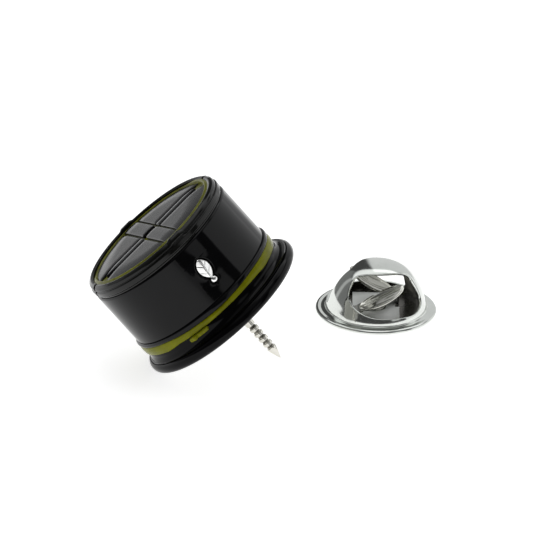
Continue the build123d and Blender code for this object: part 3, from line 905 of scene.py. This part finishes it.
# the back wing takes the darker copy of the nickel as painted shade
for half_turn, name, look in ((0, "front", SPRING), (180, "back", SHADED)):
    wing_place = CLUTCH @ turn(half_turn, "Z") @ Matrix.Translation((WING_X, WING_Y, WING_Z))
    wing_place = wing_place @ turn(-TILT_DEGREES, "Y")
    put(f"spring_wing_{name}", *joined(wing(), neck()), wing_place, look, "spring_nickel", f"{name}_wing",
        f"finger_wing_{name}")

# ---- eyelet ----
eyelet = rounded([(0.56, 0.02, 0.03), (0.75, 0.02, 0.03), (0.75, 0.45, 0.02), (1.0, 0.45, 0.05),
                  (1.0, 0.6, 0.07), (0.56, 0.6, 0.08)], 0.1)
put("clutch_rivet", *swept(lambda a: eyelet, azimuths(4.0)), CLUTCH, SPRING, "clutch_nickel", "clutch",
    "clutch_eyelet")

# ---- CAD pieces shown as they are ----
for node, look, slot in (("hat_casting", CASTING, "plated_casting"), ("back_plate", BACK, "plated_back"),
                         # the base plate takes the nickel darkened as painted shade
                         ("clutch_base_plate", BASE_PLATE_SHADE, "clutch_nickel"),
                         ("spring_foot", STRIP_LOOK, "spring_nickel")):
    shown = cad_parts[node]
    shown.data.materials.clear()
    shown.data.materials.append(look)

# ---- floor ----
HALF, BELOW = 3.0, -2e-5      # half the floor's side, and its height just under the table plane, in metres
floor_mesh = bpy.data.meshes.new("floor")
floor_mesh.from_pydata([(-HALF, -HALF, BELOW), (HALF, -HALF, BELOW),
                        (HALF, HALF, BELOW), (-HALF, HALF, BELOW)],
                       [], [(0, 1, 2, 3)])
floor = bpy.data.objects.new("floor", floor_mesh)
bpy.context.scene.collection.objects.link(floor)
paper = bpy.data.materials.new("pale paper")
paper.use_nodes = True
tree = paper.node_tree
shader = tree.nodes["Principled BSDF"]
shader.inputs["Roughness"].default_value = 0.9
shader.inputs["Specular IOR Level"].default_value = 0.1
shader.inputs["Emission Strength"].default_value = 0.88
# white round the object, and a little greyer far from it
place = tree.nodes.new("ShaderNodeTexCoord")
shift = tree.nodes.new("ShaderNodeVectorMath")
shift.operation = "ADD"
shift.inputs[1].default_value = (0, -0.02, 0)
tree.links.new(place.outputs["Object"], shift.inputs[0])
length = tree.nodes.new("ShaderNodeVectorMath")
length.operation = "LENGTH"
tree.links.new(shift.outputs["Vector"], length.inputs[0])
ramp = tree.nodes.new("ShaderNodeValToRGB")
for stop, distance, grey in zip(ramp.color_ramp.elements, (0.075, 0.35), (0.86, 0.5)):
    stop.position = distance
    stop.color = (grey, grey, grey, 1)
tree.links.new(length.outputs["Value"], ramp.inputs["Fac"])
tree.links.new(ramp.outputs["Color"], shader.inputs["Base Color"])
tree.links.new(ramp.outputs["Color"], shader.inputs["Emission Color"])
floor_mesh.materials.append(paper)

# ---- studio light: soft panels at set directions round the object ----
world = bpy.data.worlds.new("studio")
bpy.context.scene.world = world
world.use_nodes = True
tree = world.node_tree
ground = tree.nodes["Background"]
direction = tree.nodes.new("ShaderNodeTexCoord")
parts = tree.nodes.new("ShaderNodeSeparateXYZ")
tree.links.new(direction.outputs["Generated"], parts.inputs[0])


def arithmetic(kind, *values):
    made = tree.nodes.new("ShaderNodeMath")
    made.operation = kind
    for socket, value in zip(made.inputs, values):
        if isinstance(value, (int, float)):
            socket.default_value = value
        else:
            tree.links.new(value, socket)
    return made.outputs[0]


back_y = arithmetic("MULTIPLY", parts.outputs["Y"], -1.0)
ROUND = {"front": arithmetic("DEGREES", arithmetic("ARCTAN2", parts.outputs["X"], back_y)),
         "back": arithmetic("DEGREES", arithmetic("ARCTAN2", parts.outputs["X"], parts.outputs["Y"]))}
ABOVE = arithmetic("DEGREES", arithmetic("ARCSINE", parts.outputs["Z"]))


def soft_edge(value, middle, width, rising):
    """Share from 0 to 1, or back, across a soft edge."""
    made = tree.nodes.new("ShaderNodeMapRange")
    made.interpolation_type = "SMOOTHSTEP"
    made.inputs["From Min"].default_value = middle - width / 2
    made.inputs["From Max"].default_value = middle + width / 2
    made.inputs["To Min"].default_value = 0.0 if rising else 1.0
    made.inputs["To Max"].default_value = 1.0 if rising else 0.0
    tree.links.new(value, made.inputs["Value"])
    return made.outputs["Result"]


def panel(light, side, start, end, low, high, soft=(4, 4, 4, 4)):
    """Brightness of a panel between two directions round the object and two elevations."""
    share = arithmetic("MULTIPLY", soft_edge(ABOVE, low, soft[2], True),
                       soft_edge(ABOVE, high, soft[3], False))
    if side:
        share = arithmetic("MULTIPLY", share, soft_edge(ROUND[side], start, soft[0], True))
        share = arithmetic("MULTIPLY", share, soft_edge(ROUND[side], end, soft[1], False))
    return arithmetic("MULTIPLY", share, light)


# the panels' own colour is one white; each row is (light, side, azimuths, elevations, soft edges' widths)
total = panel(0.07, None, 0, 0, -90, 40, (4, 4, 4, 14))     # faint light all round
for values in (
    (0.95, "front", 71, 143, -30, 34, (3, 6, 4, 10)),       # large panel on the right
    (0.6, "front", 36, 56, 6, 27, (6, 3, 6, 4)),            # card in front of it, across a dark gap
    (0.14, "front", -150, -80, -10, 40, (8, 14, 6, 10)),    # grey wall on the left
    (0.3, "back", -38, -14, -20, 14, (5, 3, 4, 5)),         # pale card behind, on the left
    (0.3, "front", -119, -109, -10, 45, (5, 5, 6, 10)),     # narrow light strip on the left
    (0.7, "back", -3, 38, -20, 50, (3, 6, 4, 8)),           # panel behind, on the right
    (1.15, "back", -75, 75, 42, 66, (20, 20, 6, 5)),        # ceiling behind
    (0.6, "back", -90, 90, 66, 76, (20, 20, 5, 4)),         # the ceiling's dimmer part, nearer to overhead
    (0.35, "front", -90, 90, 45, 76, (20, 20, 12, 4)),      # dim ceiling in front
    (1.6, None, 0, 0, 76, 95, (4, 4, 4, 3)),                # overhead lamp
):
    total = arithmetic("ADD", total, panel(*values))
tree.links.new(total, ground.inputs["Strength"])
ground.inputs["Color"].default_value = (0.985, 0.995, 1.0, 1)

# ---- camera ----
ELEVATION, ROLL = math.radians(24.04), math.radians(1.47)
AIM, DISTANCE = Vector((0.0000576, 0.01803, 0)), 0.6
back = Vector((0, -math.cos(ELEVATION), math.sin(ELEVATION)))
up = Vector((0, math.sin(ELEVATION), math.cos(ELEVATION)))
right = Vector((1, 0, 0))
camera = bpy.data.cameras.new("camera")
camera.lens = 405.25
camera.sensor_width = 36
camera.clip_start = 0.01
camera.clip_end = 10
eye = bpy.data.objects.new("camera", camera)
bpy.context.scene.collection.objects.link(eye)
axes = Matrix((math.cos(ROLL) * right + math.sin(ROLL) * up,
               -math.sin(ROLL) * right + math.cos(ROLL) * up, back))
eye.matrix_world = Matrix.Translation(AIM + back * DISTANCE) @ axes.transposed().to_4x4()
bpy.context.scene.camera = eye
bpy.context.scene.view_settings.view_transform = "Standard"
